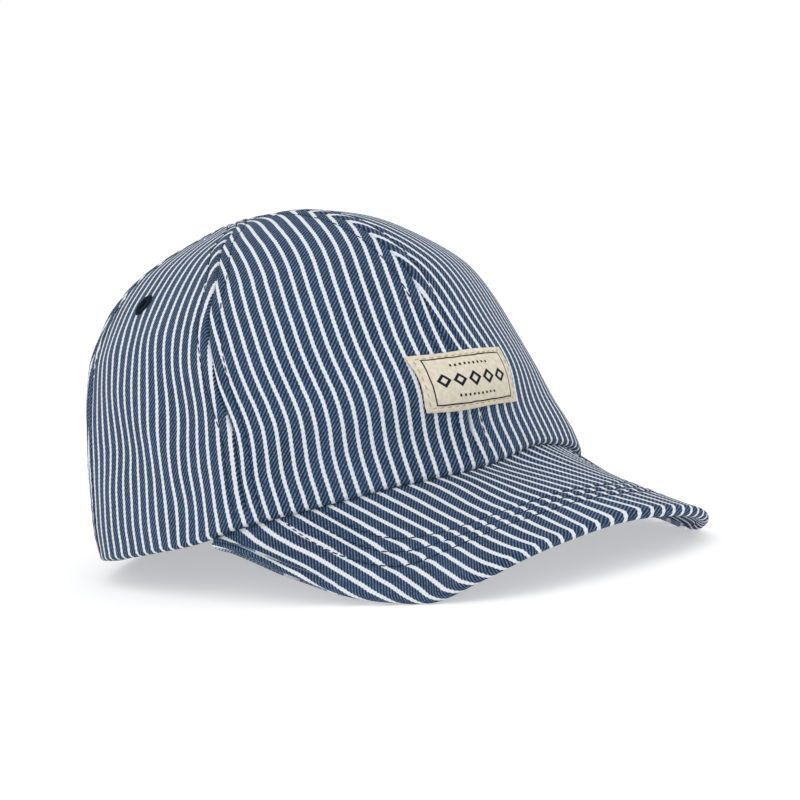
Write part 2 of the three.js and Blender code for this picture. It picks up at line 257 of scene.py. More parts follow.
def with_cloth_lengths():
    """The sections with along, the share of the cloth's length from the rim to each of them."""
    rows = [dict(row) for row in SECTIONS + [MIRRORED]]
    length = 0
    for k, row in enumerate(rows):
        if k:
            step = {name: row[name] - rows[k - 1][name] for name in ("rise", "side", "front", "back")}
            reach = (step["front"] * FRONT_REACH + step["back"] * BACK_REACH) / 2
            inward = (step["side"] * HALF_WIDTH + reach) / 2
            length += math.hypot(inward, step["rise"] * CROWN_HEIGHT)
        row["length"] = length
    whole = rows[-2]["length"]
    for row in rows:
        row["along"] = row["length"] / whole
    return rows, whole


CROWN_ROWS, GORE_LENGTH = with_cloth_lengths()


def rim_height(azimuth):
    degrees = np.degrees(np.abs(azimuth))
    right = smooth_value(RIM_LEVELS, "right", "azimuth", degrees)
    left = smooth_value(RIM_LEVELS, "left", "azimuth", degrees)
    return FRONT_LIFT * np.where(np.asarray(azimuth) < 0, right, left)


def leaning_point(azimuth, along):
    """A place of the crown's section that leans back with its axis, before the rim is levelled."""
    part = {name: smooth_value(CROWN_ROWS, name, "along", along) for name in MIRRORED}
    forward = np.cos(azimuth)
    fullness = (1 - along ** 4) * (1 - END_RIDGE_LOSS * forward ** 2)
    ridge = 1 + SEAM_RIDGE * np.cos(6 * azimuth) * fullness
    reach = np.where(forward > 0, part["front"] * FRONT_REACH, part["back"] * BACK_REACH)
    x = np.sin(azimuth) * part["side"] * HALF_WIDTH * ridge
    y = APEX_SETBACK * part["setback"] - forward * reach * ridge
    z = CROWN_HEIGHT * part["rise"]
    cos = math.cos(CROWN_LEAN)
    sin = math.sin(CROWN_LEAN)
    return stacked(x, y * cos + z * sin, z * cos + (BACK_REACH - y) * sin)


def smooth_crown(azimuth, along):
    point = leaning_point(azimuth, along).copy()
    fade = (1 - np.clip(along / RIM_FADE, 0, 1)) ** 2
    at_rim = leaning_point(azimuth, np.zeros_like(along))
    point[..., 2] += (rim_height(azimuth) - at_rim[..., 2]) * fade
    return point


def outward(surface, azimuth, along):
    """The direction that a surface faces. Short of the apex, where it has no round direction."""
    step = 0.002
    along = np.minimum(along, 1 - 3 * step)
    low = np.maximum(along - step, 0)
    across = surface(azimuth + step, along) - surface(azimuth - step, along)
    up = surface(azimuth, along + step) - surface(azimuth, low)
    return unit(np.cross(across, up))


def crown_point(azimuth, along):
    """The crown's outer face: azimuth from the centre front, along from the rim (0) to the apex (1)."""
    depth = 0
    for dent in DENTS:
        turn = np.mod(azimuth - math.radians(dent["azimuth"]) + math.pi, 2 * math.pi) - math.pi
        across = turn / math.radians(dent["width"])
        up = (along - dent["along"]) / dent["length"]
        depth = depth + dent["depth"] * HALF_WIDTH * np.exp(-(across ** 2 + up ** 2) / 2)
    push = -outward(smooth_crown, azimuth, along) * depth[..., None]
    push[..., 2] *= np.clip(along * GORE_LENGTH / HEM_SHARE_LENGTH, 0, 1)
    return smooth_crown(azimuth, along) + push


def seam_azimuth(seam, along):
    row = SEAMS[seam]
    return np.radians(row["azimuth"] + row["gain"] * (1 - (1 - along) ** 3))


def waves(point):
    """Slight unevenness of soft cloth, the same from both sides of a seam."""
    x = point[..., 0]
    y = point[..., 1]
    z = point[..., 2]
    broad = np.sin(x / 11 + 1.3) * np.sin(y / 13 + 0.4) + np.sin(z / 12 + x / 17 + 2.1)
    fine = np.sin(x / 4.1 + z / 5.3) * np.sin(y / 4.7 - z / 6.1 + 0.8)
    return WAVES * (broad / 2 + fine / 4)


def along_of(length):
    """Share of a gore at a length of cloth above the fold's lowest line."""
    return (length - FOLD * (math.pi / 2 - 1)) / GORE_LENGTH


def outer_face(azimuth, length, from_seam, seam_turn):
    """Place and direction of the crown's cloth, a length above the fold and so far from a seam."""
    along = along_of(length)
    point = crown_point(azimuth, along)
    normal = outward(crown_point, azimuth, along)
    fold_fade = ease((length - FOLD * math.pi / 2) / FOLD_FADE)
    tip_fade = np.clip((1 - along) * GORE_LENGTH / TIP_FADE, 0, 1)
    near = np.exp(-((from_seam - PUCKER_FROM_SEAM) / PUCKER_SPREAD) ** 2)
    ripple = np.sin(2 * math.pi * (length + PUCKER_SLANT * from_seam) / PUCKER_PITCH + seam_turn)
    slow = 0.6 + 0.4 * np.sin(length / PUCKER_SLOW + 2 * seam_turn)
    relief = smooth_value(SEAM_RELIEF, "height", "distance", from_seam)
    height = (relief + PUCKER * near * ripple * slow + waves(point)) * fold_fade * tip_fade
    return point + normal * height[..., None], normal


def hem_face(azimuth, length):
    """Place of the cloth as it rolls round the fold, and then up inside as the turned hem."""
    start = np.full_like(azimuth, FOLD / GORE_LENGTH)
    point = crown_point(azimuth, start)
    normal = outward(crown_point, azimuth, start)
    step = 0.004
    up = unit(crown_point(azimuth, start + step) - crown_point(azimuth, start - step))
    turn = np.clip(math.pi / 2 - length / FOLD, 0, math.pi)[..., None]
    rolled = point + FOLD * (normal * (np.cos(turn) - 1) - up * np.sin(turn))
    risen = np.maximum(-length - FOLD * math.pi / 2, 0)
    along = (FOLD + risen) / GORE_LENGTH
    leaf = crown_point(azimuth, along) - 2 * FOLD * outward(crown_point, azimuth, along)
    face = np.where((risen > 0)[..., None], leaf, rolled)
    face[..., 2] = np.maximum(face[..., 2], np.maximum(rim_height(azimuth) - HEM_SINK, 0))
    return face


def peak_depth(across, covers, gaps):
    """How far below the peak's top a number of its covers and the gaps between them reach."""
    return covers * PEAK_COVER * (1 - CORNER_THINNING * across ** 6) + gaps * COVER_GAP


def level_inward(azimuth):
    inward = -outward(crown_point, azimuth, np.zeros_like(azimuth))
    inward[..., 2] = 0
    return unit(inward)


def peak_outer(across):
    spread = np.full_like(across, PEAK_SPREAD)
    zero = np.zeros_like(across)
    corner = smooth_crown(spread, zero) - PEAK_OVERHANG * level_inward(spread)
    front = smooth_crown(zero, zero)[..., 1] - PEAK_LENGTH
    turn = np.abs(across) * math.pi / 2
    power = 2 / PEAK_SQUARENESS
    waist = 1 - PEAK_WAIST * 4 * np.cos(turn) * np.sin(turn)
    front_share = smooth_value(PEAK_EDGE, "front", "across", np.abs(across))
    front_height = PEAK_EDGE_HEIGHT * (1 - PEAK_TWIST * across)
    corner_share = smooth_value(PEAK_EDGE, "corner", "across", np.abs(across))
    corner_height = rim_height(np.sign(across) * PEAK_SPREAD) - SEWN_GAP - peak_depth(1, 2, 1)
    cosine = np.maximum(np.cos(turn), 0)
    return stacked(
        np.sign(across) * corner[..., 0] * np.sin(turn) ** power * waist,
        corner[..., 1] - (corner[..., 1] - front) * cosine ** power,
        front_height * front_share + corner_height * corner_share + peak_depth(across, 2, 1),
    )


def peak_point(across, out):
    """The peak's top, from the inner line under the rim (out = 0) to its outer edge (out = 1)."""
    azimuth = across * PEAK_SPREAD
    zero = np.zeros_like(azimuth)
    inner = crown_point(azimuth, zero) + PEAK_INSET * level_inward(azimuth)
    inner[..., 2] = rim_height(azimuth) - SEWN_GAP
    outer = peak_outer(across)
    point = inner + (outer - inner) * out[..., None]
    sag = PEAK_SAG * 4 * out * (1 - out) * across ** 2 * (1 - across ** 8)
    point[..., 2] -= sag
    return point


# The frame's place, from the nodes that fix it: the peak is even about the middle, its front edge is
# its length in front of the rim, and the back of the rim is the lowest line of the crown
PEAK_LOW, PEAK_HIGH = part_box("peak_upper")
MIDDLE_FRONT = smooth_crown(np.zeros(1), np.zeros(1))[0]
SHIFT = np.array([
    (PEAK_LOW.x + PEAK_HIGH.x) / 2 / MM,
    PEAK_LOW.y / MM - (MIDDLE_FRONT[1] - PEAK_LENGTH),
    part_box("panel_back_right")[0].z / MM,
])


def deselect():
    bpy.ops.object.select_all(action="DESELECT")


def pick(piece):
    deselect()
    piece.select_set(True)
    bpy.context.view_layer.objects.active = piece


def apply_modifier(piece, kind, **settings):
    pick(piece)
    modifier = piece.modifiers.new(kind.lower(), kind)
    for name, value in settings.items():
        setattr(modifier, name, value)
    bpy.ops.object.modifier_apply(modifier=modifier.name)


def lay_map(mesh, cloth):
    """Gives each corner of a mesh the cloth's place at its point, as the map named cloth."""
    corners = np.zeros(len(mesh.loops), int)
    mesh.loops.foreach_get("vertex_index", corners)
    layer = mesh.uv_layers.active or mesh.uv_layers.new()
    layer.name = "cloth"
    layer.data.foreach_set("uv", (cloth * MM)[corners].ravel())


def cloth_sheet(name, points, facing, cloth):
    """A grid laid out as a sheet: points and cloth are arrays of rows and columns, in millimetres."""
    rows, columns = points.shape[:2]
    deselect()
    bpy.ops.mesh.primitive_grid_add(x_subdivisions=columns - 1, y_subdivisions=rows - 1, size=2)
    piece = bpy.context.object
    piece.name = name
    mesh = piece.data
    flat = np.zeros(len(mesh.vertices) * 3)
    mesh.vertices.foreach_get("co", flat)
    flat = flat.reshape(-1, 3)
    column = np.rint((flat[:, 0] + 1) / 2 * (columns - 1)).astype(int)
    row = np.rint((flat[:, 1] + 1) / 2 * (rows - 1)).astype(int)
    place = (points[row, column] + SHIFT) * MM
    mesh.vertices.foreach_set("co", place.ravel())
    mesh.update()
    lay_map(mesh, cloth[row, column])
    normals = np.zeros(len(mesh.vertices) * 3)
    mesh.vertices.foreach_get("normal", normals)
    if (normals.reshape(-1, 3) * facing[row, column]).sum() < 0:
        pick(piece)
        bpy.ops.object.mode_set(mode="EDIT")
        bpy.ops.mesh.select_all(action="SELECT")
        bpy.ops.mesh.flip_normals()
        bpy.ops.object.mode_set(mode="OBJECT")
    return piece


def merge_doubles(piece):
    pick(piece)
    bpy.ops.object.mode_set(mode="EDIT")
    bpy.ops.mesh.select_all(action="SELECT")
    bpy.ops.mesh.remove_doubles(threshold=0.002 * MM)
    bpy.ops.object.mode_set(mode="OBJECT")


def finish_cloth(piece, materials, thickness=CLOTH):
    """Gives a sheet its thickness, with the cloth's wrong side inward."""
    merge_doubles(piece)
    for material in materials:
        piece.data.materials.append(material)
    reverse = len(materials) - 1
    apply_modifier(piece, "SOLIDIFY", thickness=thickness * MM, offset=-1, material_offset=reverse)
    pick(piece)
    bpy.ops.object.shade_smooth_by_angle(angle=math.radians(50))


def declare(piece, slot, *nodes):
    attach(piece, "root")
    if nodes:
        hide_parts(*nodes)


def linear(red, green, blue):
    """A colour's light values, from the 0 to 255 values that a screen shows."""
    shares = [value / 255 for value in (red, green, blue)]
    light = [s / 12.92 if s <= 0.04045 else ((s + 0.055) / 1.055) ** 2.4 for s in shares]
    return (*light, 1)


def feed(tree, socket, item):
    if isinstance(item, bpy.types.NodeSocket):
        tree.links.new(item, socket)
    elif item is not None:
        socket.default_value = item


def maths(tree, operation, *items, clamp=False):
    node = tree.nodes.new("ShaderNodeMath")
    node.operation = operation
    node.use_clamp = clamp
    for socket, item in zip(node.inputs, items):
        feed(tree, socket, item)
    return node.outputs[0]


def step_between(tree, value, low, high, out_low=0.0, out_high=1.0):
    node = tree.nodes.new("ShaderNodeMapRange")
    node.interpolation_type = "SMOOTHSTEP"
    for socket, item in zip(node.inputs, (value, low, high, out_low, out_high)):
        feed(tree, socket, item)
    return node.outputs[0]


def mixed(tree, share, first, second, blend="MIX"):
    node = tree.nodes.new("ShaderNodeMix")
    node.data_type = "RGBA"
    node.blend_type = blend
    feed(tree, node.inputs["Factor"], share)
    feed(tree, node.inputs[6], first)
    feed(tree, node.inputs[7], second)
    return node.outputs[2]


def parted(tree, vector):
    """The outputs X, Y and Z of a vector."""
    node = tree.nodes.new("ShaderNodeSeparateXYZ")
    feed(tree, node.inputs[0], vector)
    return node.outputs


def noise(tree, vector, scale, detail=2.0):
    node = tree.nodes.new("ShaderNodeTexNoise")
    node.inputs["Scale"].default_value = scale
    node.inputs["Detail"].default_value = detail
    feed(tree, node.inputs["Vector"], vector)
    return node.outputs["Fac"]


def stretched(tree, vector, scale):
    node = tree.nodes.new("ShaderNodeVectorMath")
    node.operation = "MULTIPLY"
    feed(tree, node.inputs[0], vector)
    node.inputs[1].default_value = scale
    return node.outputs[0]


def new_group(name, inputs, outputs):
    tree = bpy.data.node_groups.new(name, "ShaderNodeTree")
    for socket, kind in inputs:
        tree.interface.new_socket(name=socket, in_out="INPUT", socket_type="NodeSocket" + kind)
    for socket, kind in outputs:
        tree.interface.new_socket(name=socket, in_out="OUTPUT", socket_type="NodeSocket" + kind)
    start = tree.nodes.new("NodeGroupInput")
    end = tree.nodes.new("NodeGroupOutput")
    return tree, start.outputs, end.inputs


def use_group(tree, group, **items):
    node = tree.nodes.new("ShaderNodeGroup")
    node.node_tree = group
    for name, item in items.items():
        feed(tree, node.inputs[name], item)
    return node.outputs


def twill_weave():
    """Right-hand twill: raised warp lines at 45 degrees, weft that shows between them, uneven yarns."""
    inputs = [("Cloth", "Vector"), ("Line Pitch", "Float"), ("Yarn", "Float")]
    outputs = [("Ridge", "Float"), ("Weft", "Float"), ("Slub", "Float"), ("Height", "Float")]
    tree, given, result = new_group("twill_weave", inputs, outputs)
    across, along, _ = parted(tree, given["Cloth"])
    unevenness = noise(tree, given["Cloth"], 900.0)
    shifted = maths(tree, "MULTIPLY_ADD", unevenness, 0.00035, maths(tree, "SUBTRACT", across, along))
    half = maths(tree, "MULTIPLY", given["Line Pitch"], 0.5)
    slope = maths(tree, "DIVIDE", maths(tree, "PINGPONG", shifted, half), half)
    ridge = step_between(tree, slope, 0.15, 0.8)
    yarn_turn = maths(tree, "MULTIPLY", maths(tree, "DIVIDE", across, given["Yarn"]), 2 * math.pi)
    yarn = maths(tree, "MULTIPLY_ADD", maths(tree, "COSINE", yarn_turn), 0.5, 0.5)
    speckle = noise(tree, stretched(tree, given["Cloth"], (1.0, 0.8, 1.0)), 1900.0, 1.0)
    gap = step_between(tree, slope, 0.62, 0.2)
    broken = step_between(tree, speckle, 0.38, 0.62)
    weft = maths(tree, "MULTIPLY", gap, maths(tree, "MULTIPLY_ADD", broken, 0.65, 0.35))
    slub = noise(tree, stretched(tree, given["Cloth"], (1.0, 0.045, 1.0)), 1500.0, 3.0)
    height = maths(tree, "MULTIPLY_ADD", yarn, 0.25, maths(tree, "MULTIPLY_ADD", slub, 0.5, ridge))
    feed(tree, result["Ridge"], ridge)
    feed(tree, result["Weft"], weft)
    feed(tree, result["Slub"], slub)
    feed(tree, result["Height"], height)
    return tree


def warp_stripe():
    """A light stripe at every pitch of the cloth, whose edge steps with the weave."""
    inputs = [("Cloth", "Vector"), ("Pitch", "Float"), ("Width", "Float"), ("Ridge", "Float")]
    tree, given, result = new_group("warp_stripe", inputs, [("Stripe", "Float")])
    drift = noise(tree, stretched(tree, given["Cloth"], (0.2, 1.0, 1.0)), 260.0, 1.0)
    across = maths(tree, "MULTIPLY_ADD", drift, 0.0003, parted(tree, given["Cloth"])[0])
    half_pitch = maths(tree, "MULTIPLY", given["Pitch"], 0.5)
    distance = maths(tree, "PINGPONG", across, half_pitch)
    stepped = maths(tree, "MULTIPLY_ADD", given["Ridge"], 0.00016, distance)
    half = maths(tree, "MULTIPLY", given["Width"], 0.5)
    low = maths(tree, "SUBTRACT", half, 0.00002)
    high = maths(tree, "ADD", half, 0.00018)
    feed(tree, result["Stripe"], step_between(tree, stepped, low, high, 1.0, 0.0))
    return tree


def new_material(name, roughness, sheen):
    material = bpy.data.materials.new(name)
    material.use_nodes = True
    tree = material.node_tree
    shader = tree.nodes["Principled BSDF"]
    shader.inputs["Roughness"].default_value = roughness
    shader.inputs["Specular IOR Level"].default_value = 0.12
    shader.inputs["Sheen Weight"].default_value = sheen
    shader.inputs["Sheen Roughness"].default_value = 0.5
    return material, tree, shader


def cloth_coordinates(tree):
    node = tree.nodes.new("ShaderNodeUVMap")
    node.uv_map = "cloth"
    return node.outputs[0]


def raise_by(tree, shader, height, depth):
    bump = tree.nodes.new("ShaderNodeBump")
    bump.inputs["Distance"].default_value = depth * MM
    feed(tree, bump.inputs["Height"], height)
    tree.links.new(bump.outputs[0], shader.inputs["Normal"])


TWILL = twill_weave()
STRIPE = warp_stripe()
TWILL_PITCH = 1.42
YARN = 0.36
TAPE_YARN = 0.42


def denim(name, indigo, faded, weft_colour, light, light_shade, weft_share):
    """Striped twill: indigo warp with light stripes, over a light weft that shows between the lines."""
    material, tree, shader = new_material(name, 0.9, 0.02)
    cloth = cloth_coordinates(tree)
    twill = use_group(tree, TWILL, **{"Cloth": cloth, "Line Pitch": TWILL_PITCH * MM, "Yarn": YARN * MM})
    stripe = use_group(tree, STRIPE, Cloth=cloth, Pitch=STRIPE_PITCH * MM, Width=STRIPE_WIDTH * MM,
                       Ridge=twill["Ridge"])["Stripe"]
    place = tree.nodes.new("ShaderNodeTexCoord").outputs["Object"]
    fade = step_between(tree, noise(tree, place, 45.0, 3.0), 0.3, 0.7)
    slub = step_between(tree, twill["Slub"], 0.3, 0.7)
    worn = maths(tree, "MULTIPLY_ADD", fade, 0.35, maths(tree, "MULTIPLY", slub, 0.5))
    warp = mixed(tree, worn, linear(*indigo), linear(*faded))
    dark = mixed(tree, maths(tree, "MULTIPLY", twill["Weft"], weft_share), warp, linear(*weft_colour))
    pale = mixed(tree, maths(tree, "MULTIPLY", twill["Weft"], 0.6), linear(*light), linear(*light_shade))
    tree.links.new(mixed(tree, stripe, dark, pale), shader.inputs["Base Color"])
    raise_by(tree, shader, twill["Height"], 0.10)
    return material


def thread(name, colour, sheen_colour):
    """Twisted sewing thread, whose turns follow the piece's own map."""
    material, tree, shader = new_material(name, 0.7, 0.0)
    along, round_it, _ = parted(tree, cloth_coordinates(tree))
    lean = maths(tree, "ADD", along, round_it)
    turn = maths(tree, "PINGPONG", lean, 0.00025)
    strand = maths(tree, "MULTIPLY", turn, 4000.0)
    fibres = noise(tree, tree.nodes.new("ShaderNodeTexCoord").outputs["Object"], 2500.0)
    tone = mixed(tree, maths(tree, "MULTIPLY", strand, fibres), linear(*colour), linear(*sheen_colour))
    tree.links.new(tone, shader.inputs["Base Color"])
    raise_by(tree, shader, strand, 0.06)
    return material


def box_line(tree, across, up, half_width, half_height):
    """Signed distance from the outline of a rectangle about the middle."""
    beside = maths(tree, "SUBTRACT", maths(tree, "ABSOLUTE", across), half_width * MM)
    above = maths(tree, "SUBTRACT", maths(tree, "ABSOLUTE", up), half_height * MM)
    return maths(tree, "MAXIMUM", beside, above)


def inked(tree, distance, half_line):
    half = half_line * MM
    return step_between(tree, maths(tree, "ABSOLUTE", distance), half, half * 1.5, 1.0, 0.0)


def label_tape():
    """Cream tape with a thin dark frame, and a row of plain lozenges between two rows of dots."""
    material, tree, shader = new_material("label_cloth", 0.95, 0.0)
    cloth = cloth_coordinates(tree)
    warp, weft, _ = parted(tree, cloth)
    drift = maths(tree, "SUBTRACT", noise(tree, cloth, 170.0, 1.0), 0.5)
    across = maths(tree, "MULTIPLY_ADD", drift, 0.0006, warp)
    up = maths(tree, "MULTIPLY_ADD", drift, 0.0008, weft)
    frame_line = inked(tree, box_line(tree, across, up, 14.2, 6.6), 0.17)
    lozenge_across = maths(tree, "DIVIDE", maths(tree, "PINGPONG", across, 2.6 * MM), 2.6 * MM)
    lozenge_up = maths(tree, "DIVIDE", maths(tree, "ABSOLUTE", up), 2.3 * MM)
    lozenge = maths(tree, "ADD", lozenge_across, lozenge_up)
    solid = step_between(tree, lozenge, 0.86, 0.92, 1.0, 0.0)
    hollow = step_between(tree, lozenge, 0.40, 0.46)
    within = maths(tree, "LESS_THAN", maths(tree, "ABSOLUTE", across), 13 * MM)
    band = maths(tree, "MULTIPLY", maths(tree, "MULTIPLY", solid, hollow), within)
    dot_across = maths(tree, "PINGPONG", across, 0.8 * MM)
    dot_up = maths(tree, "SUBTRACT", maths(tree, "ABSOLUTE", up), 4.3 * MM)
    square = maths(tree, "MAXIMUM", dot_across, maths(tree, "ABSOLUTE", dot_up))
    dots = step_between(tree, square, 0.3 * MM, 0.42 * MM, 1.0, 0.0)
    short = maths(tree, "LESS_THAN", maths(tree, "ABSOLUTE", across), 6.8 * MM)
    motif = maths(tree, "MAXIMUM", band, maths(tree, "MULTIPLY", dots, short))
    ink = maths(tree, "MAXIMUM", frame_line, motif)
    turns = 2 * math.pi / (TAPE_YARN * MM)
    waves_of = [maths(tree, "SINE", maths(tree, "MULTIPLY", item, turns)) for item in (warp, weft)]
    weave = maths(tree, "MULTIPLY", *waves_of)
    fibres = noise(tree, cloth, 700.0, 4.0)
    tone = maths(tree, "MULTIPLY_ADD", weave, 0.15, fibres)
    stain = noise(tree, cloth, 90.0, 2.0)
    cream = mixed(tree, step_between(tree, tone, 0.3, 0.75), linear(214, 204, 182), linear(236, 231, 218))
    warm = mixed(tree, maths(tree, "MULTIPLY", stain, 0.4), cream, linear(224, 212, 188))
    broken = maths(tree, "MULTIPLY", ink, step_between(tree, tone, 0.05, 0.35, 0.75, 1.0))
    tree.links.new(mixed(tree, broken, warm, linear(30, 34, 44)), shader.inputs["Base Color"])
    raise_by(tree, shader, maths(tree, "MULTIPLY_ADD", weave, 0.5, fibres), 0.08)
    return material


DENIM = denim("striped_denim", (17, 36, 62), (34, 60, 93), (132, 152, 176), (228, 232, 238),
              (198, 206, 218), 0.62)
REVERSE = denim("striped_denim_reverse", (92, 112, 142), (118, 138, 166), (186, 196, 210),
                (224, 228, 233), (200, 208, 218), 0.8)
NAVY = thread("navy_thread", (10, 21, 36), (27, 41, 62))
TOPSTITCH_NAVY = thread("navy_topstitch", (20, 38, 64), (46, 68, 102))
CREAM = thread("cream_thread", (176, 156, 120), (214, 198, 166))
LABEL = label_tape()


def spaced_lengths():
    """Lengths of cloth of a gore's rows, from the hem's raw edge round the fold and up to the apex."""
    quarter = FOLD * math.pi / 2
    leaf = np.linspace(-quarter - HEM_TURN, -quarter, 10)[:-1]
    fold = np.linspace(-quarter, quarter, 11)
    tip = GORE_LENGTH + FOLD * (math.pi / 2 - 1)
    return np.concatenate([leaf, fold, np.linspace(quarter, tip, 122)[1:]])


def gore_columns(width):
    """Distances across a gore of that width at which it has a line of points, closest at its seams."""
    near = np.array([0, 0.2, 0.5, 0.9, 1.5, 2.2, 3.0, 3.7, 4.1, 4.4, 4.7, 5.2, 6.0, 7.0])
    squeeze = min(1, width / (2.3 * near[-1]))
    near = near * squeeze
    middle = np.linspace(near[-1], width - near[-1], 54)[1:-1]
    return np.concatenate([near, middle, (width - near)[::-1]])


# Stripes of each gore: the distance from its middle line to a light stripe at the rim, their pitch
# there, how far they lean and bend aside on their way up, and how much closer together they come
STRIPES = {
    "front_right": dict(start=1.56, pitch=4.0, lean=0, bend=0, closing=0),
    "front_left": dict(start=-1.35, pitch=4.0, lean=0, bend=0, closing=0),
    "side_right": dict(start=4.86, pitch=4.99, lean=4.31, bend=3.31, closing=0.693),
    "other": dict(start=0.8, pitch=4.3, lean=0, bend=0, closing=0),
}
STRIPE_LEAN_TOP = 0.62

# Soft creases that carry the stripes of the right side gore aside. Azimuth and width are degrees,
# along and length are shares of the gore, and shift is millimetres.
SWAYS = table(
    "azimuth along width length shift",
    (-93, 0.41, 12, 0.04, 2.45),
    (-87, 0.20, 9, 0.04, -1.13),
    (-75, 0.08, 7, 0.04, 2.31),
    (-72, 0.32, 7, 0.04, 1.31),
    (-108, 0.56, 12, 0.04, -2.00),
    (-93, 0.47, 7, 0.04, 2.57),
    (-90, 0.26, 7, 0.04, -1.70),
    (-84, 0.35, 7, 0.04, 1.29),
    (-102, 0.17, 7, 0.04, -1.98),
    (-90, 0.02, 7, 0.09, -1.14),
    (-69, 0.47, 7, 0.04, 1.20),
    (-105, 0.35, 7, 0.04, 1.14),
    (-72, 0.26, 7, 0.04, 1.69),
)


def bell(across, up):
    """1 at a middle and fading to 0 around it, over distances that are shares of its size."""
    return np.exp(-(across ** 2 + up ** 2) / 2)


def stripe_sway(azimuth, along):
    sway = 0
    for row in SWAYS:
        across = np.degrees(azimuth - math.radians(row["azimuth"])) / row["width"]
        sway = sway + row["shift"] * bell(across, (along - row["along"]) / row["length"])
    return sway


def gore_sheet(gore, side):
    """The points, directions and cloth coordinates of one gore."""
    sign = SIDES[side]
    lengths = spaced_lengths()
    along = np.clip(np.where(lengths > 0, along_of(np.abs(lengths)), 0), 0, 1)
    ends = [seam_azimuth(seam, along) * sign for seam in GORES[gore]]
    low = np.minimum(*ends)
    high = np.maximum(*ends)
    share = np.linspace(0, 1, 121)
    sampled = low[:, None] + (high - low)[:, None] * share
    line = crown_point(sampled, np.broadcast_to(along[:, None], sampled.shape))
    steps = np.linalg.norm(np.diff(line, axis=1), axis=2)
    arcs = np.concatenate([np.zeros((len(along), 1)), np.cumsum(steps, axis=1)], axis=1)
    widths = arcs[:, -1]
    distance = np.array([gore_columns(width) for width in widths])
    flat_arc = np.maximum(arcs, 1e-9 * share)
    azimuth = np.array([np.interp(d, a, s) for d, a, s in zip(distance, flat_arc, sampled)])
    spread = np.broadcast_to(lengths[:, None], azimuth.shape)
    from_seam = np.minimum(distance, widths[:, None] - distance)
    seam_turn = np.where(distance < widths[:, None] / 2, low[:, None], high[:, None]) * 3
    inside = lengths < FOLD * math.pi / 2
    points, facing = outer_face(azimuth, np.maximum(spread, FOLD * math.pi / 2), from_seam, seam_turn)
    points[inside] = hem_face(azimuth[inside], spread[inside])
    name = f"{gore}_{side}"
    stripe = STRIPES.get(name, STRIPES["other"])
    from_middle = distance - widths[:, None] / 2
    if name == "side_right":
        from_middle = from_middle - stripe_sway(azimuth, along[:, None])
    rise = np.minimum(along, STRIPE_LEAN_TOP)[:, None]
    aside = from_middle - stripe["start"] - rise * (stripe["lean"] + stripe["bend"] * rise)
    across = aside * STRIPE_PITCH / (stripe["pitch"] - stripe["closing"] * rise)
    return points, facing, np.stack([across, spread], axis=-1)


def hole_cutter(place, direction, radius, depth):
    deselect()
    bpy.ops.mesh.primitive_cylinder_add(vertices=48, radius=radius * MM, depth=depth * MM,
                                        location=(place + SHIFT) * MM,
                                        rotation=Vector(direction).to_track_quat("Z", "Y").to_euler())
    return bpy.context.object


def eyelet_place(side):
    azimuth = np.array([SIDES[side] * EYELET_AZIMUTH])
    along = np.array([EYELET_ALONG])
    length = EYELET_ALONG * GORE_LENGTH + FOLD * (math.pi / 2 - 1)
    point = outer_face(azimuth, np.array([length]), np.array([FAR_FROM_SEAM]), np.zeros(1))[0]
    return point[0], outward(crown_point, azimuth, along)[0]


def build_gores():
    for side in SIDES:
        for gore in GORES:
            piece = cloth_sheet(f"gore_{gore}_{side}", *gore_sheet(gore, side))
            finish_cloth(piece, [DENIM, REVERSE])
            if gore == "side":
                cutter = hole_cutter(*eyelet_place(side), EYELET_HOLE + EYELET_CLEARANCE, CUTTER_DEPTH)
                apply_modifier(piece, "BOOLEAN", operation="DIFFERENCE", solver="EXACT", object=cutter)
                bpy.data.objects.remove(cutter)
            declare(piece, "striped_denim", f"panel_{gore}_{side}")


def build_eyelets():
    """Satin-stitched rings round the air holes, with the thread's turns as fine radial ridges."""
    middle = (EYELET_OUTER + EYELET_HOLE) / 2
    for side in SIDES:
        place, direction = eyelet_place(side)
        deselect()
        bpy.ops.mesh.primitive_torus_add(major_segments=4 * EYELET_TURNS, minor_segments=14,
                                         major_radius=middle,
                                         minor_radius=(EYELET_OUTER - EYELET_HOLE) / 2)
        piece = bpy.context.object
        piece.name = f"eyelet_{side}"
        turn = Vector(direction).to_track_quat("Z", "Y")
        places = [vertex.co.copy() for vertex in piece.data.vertices]
        turns = [(math.hypot(co.x, co.y), math.atan2(co.y, co.x) * middle) for co in places]
        lay_map(piece.data, np.array(turns))
        for vertex in piece.data.vertices:
            co = vertex.co
            angle = math.atan2(co.y, co.x)
            ridge = 1 + 0.05 * math.cos(EYELET_TURNS * angle)
            radius = middle + (math.hypot(co.x, co.y) - middle) * ridge * (1 + 0.03 * math.sin(5 * angle))
            height = co.z * 0.95 * ridge - 0.35
            local = Vector((radius * math.cos(angle), radius * math.sin(angle), height))
            vertex.co = (turn @ local + Vector(place + SHIFT)) * MM
        pick(piece)
        bpy.ops.object.shade_smooth()
        piece.data.materials.append(NAVY)
        declare(piece, "navy_thread", f"eyelet_side_{side}")


def peak_normal(across, out):
    step = 0.004
    sideways = peak_point(across + step, out) - peak_point(across - step, out)
    forward = peak_point(across, out + step) - peak_point(across, out - step)
    normal = np.cross(forward, sideways)
    return unit(normal * np.sign(normal[..., 2:]))


# Topstitching of the peak: each row is a rounded outline behind the front edge
PEAK_ROWS = table(
    "behind half_width squareness",
    (16.8, 53.5, 2.85),
    (22.0, 48.8, 3.1),
    (27.0, 44.6, 3.3),
)
PEAK_ROW_BACK = 46
ROW_DRAW = 0.22
ROW_WIDTH = 0.7
ROW_SWELL = 0.12
SWELL_AT = 2.2
SWELL_WIDTH = 1.1
UNDER_RELIEF = 0.8


